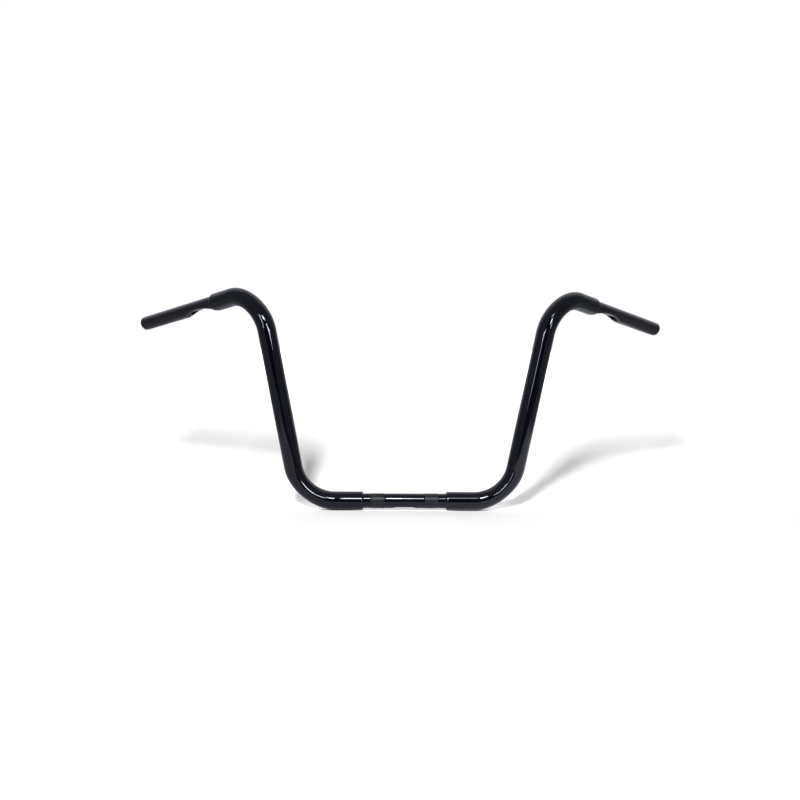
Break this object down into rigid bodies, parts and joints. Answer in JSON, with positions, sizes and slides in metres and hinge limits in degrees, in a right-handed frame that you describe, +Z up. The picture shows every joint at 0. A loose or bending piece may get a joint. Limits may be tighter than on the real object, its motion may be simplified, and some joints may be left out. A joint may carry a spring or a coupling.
{
  "type": "ape hanger handlebar",
  "caption": "Tall fat-tube motorcycle handlebar with slim clamp section, knurled riser bands, leaning uprights and swept-back grip ends with dimples and wire slots.",
  "frame": {"origin": "on the axis of the clamp tube, half way along it", "axes": "+X along the clamp tube towards the right grip, +Y towards the rider, +Z up the uprights"},
  "size_m": [1.0072, 0.2305, 0.383],
  "materials": {
    "gloss_black": "gloss black powder coat over steel tube"
  },
  "bodies": {
    "root": {"clamp_tube": "gloss_black", "left_upright_tube": "gloss_black", "right_upright_tube": "gloss_black", "left_grip_tube": "gloss_black", "right_grip_tube": "gloss_black"}
  },
  "joints": []
}
